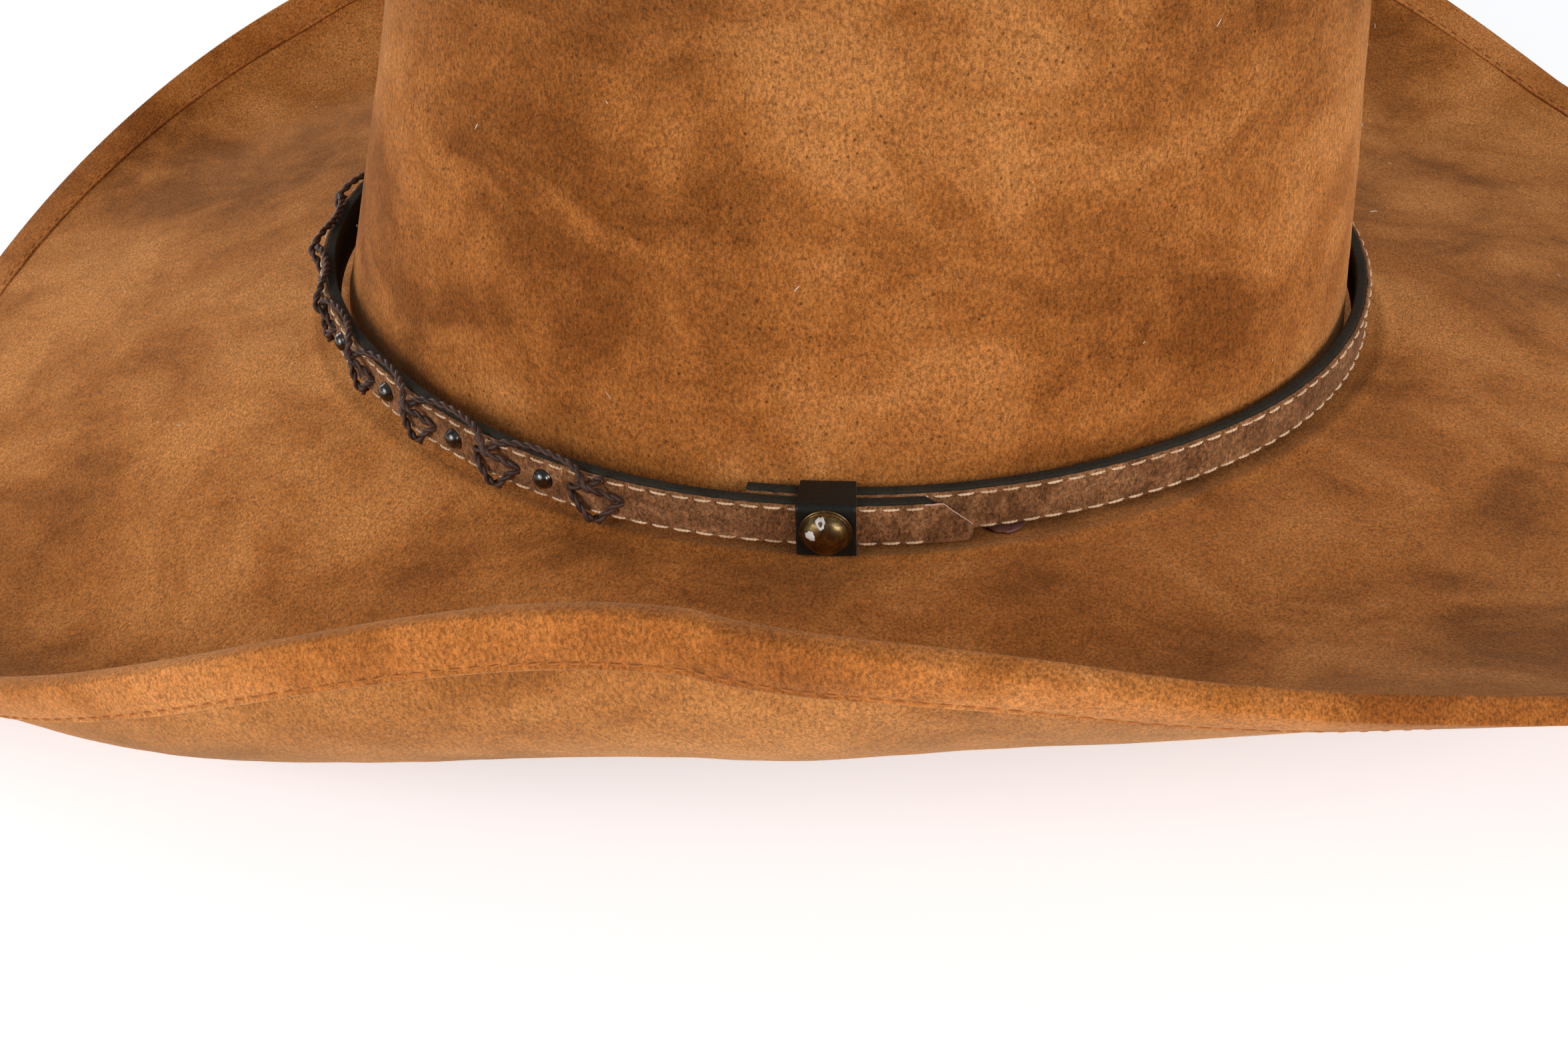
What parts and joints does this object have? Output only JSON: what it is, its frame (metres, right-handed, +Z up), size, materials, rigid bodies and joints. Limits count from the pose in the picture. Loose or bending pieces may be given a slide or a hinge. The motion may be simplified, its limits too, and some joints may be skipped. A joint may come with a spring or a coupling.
{
  "type": "cowboy hat",
  "caption": "Western hat with a creased suede crown, wired rolled brim, sewn sweatband and a laced leather strap hatband with keeper.",
  "frame": {"origin": "centre of the head opening, on the plane of the brim's underside where brim and crown meet", "axes": "+Z up through the crown, -Y towards the front of the hat, +X towards the wearer's left, where the keeper sits"},
  "size_m": [0.3532, 0.4347, 0.1559],
  "materials": {
    "cover_suede": "brushed suede nap",
    "binding_suede": "brushed suede nap",
    "stiff_felt": "matte felt",
    "lining": "satin weave",
    "wire": "drawn",
    "tan_thread": "twisted thread",
    "sweat_leather": "smooth",
    "reed": "matte",
    "cream_thread": "twisted thread",
    "tag": "woven, blank",
    "black_leather": "smooth",
    "strap_suede": "suede",
    "waxed_cord": "waxed twist",
    "gunmetal": "polished gunmetal",
    "aged_brass": "aged patina"
  },
  "bodies": {
    "hat": {"crown_cover": "cover_suede", "crown_body": "stiff_felt", "crown_lining_side": "lining", "crown_lining_tip": "lining", "brim_top_cover": "cover_suede", "brim_interlining": "stiff_felt", "brim_under_cover": "cover_suede", "brim_wire": "wire", "brim_edge_binding": "binding_suede", "binding_stitching": "tan_thread", "sweatband": "sweat_leather", "sweatband_reed": "reed", "sweatband_stitching": "cream_thread", "sweatband_bow": "lining", "size_tag": "tag"},
    "hatband": {"strap_core": "black_leather", "strap_face": "strap_suede", "strap_stitching_upper": "cream_thread", "strap_stitching_lower": "cream_thread", "lacing_cord": "waxed_cord", "stud_domes": "gunmetal", "stud_posts": "gunmetal"},
    "keeper": {"keeper_loop": "black_leather", "keeper_concho": "aged_brass", "keeper_rivet": "gunmetal"}
  },
  "joints": [
    {"name": "hatband_lift", "type": "slide", "parent": "hat", "child": "hatband", "axis": [0, 0, 1], "range_m": [0, 0.13]},
    {"name": "keeper_slide", "type": "hinge", "parent": "hatband", "child": "keeper", "pos_m": [-0.02884, 0, 0], "axis": [0, 0, 1], "range_deg": [-4, 5]}
  ]
}
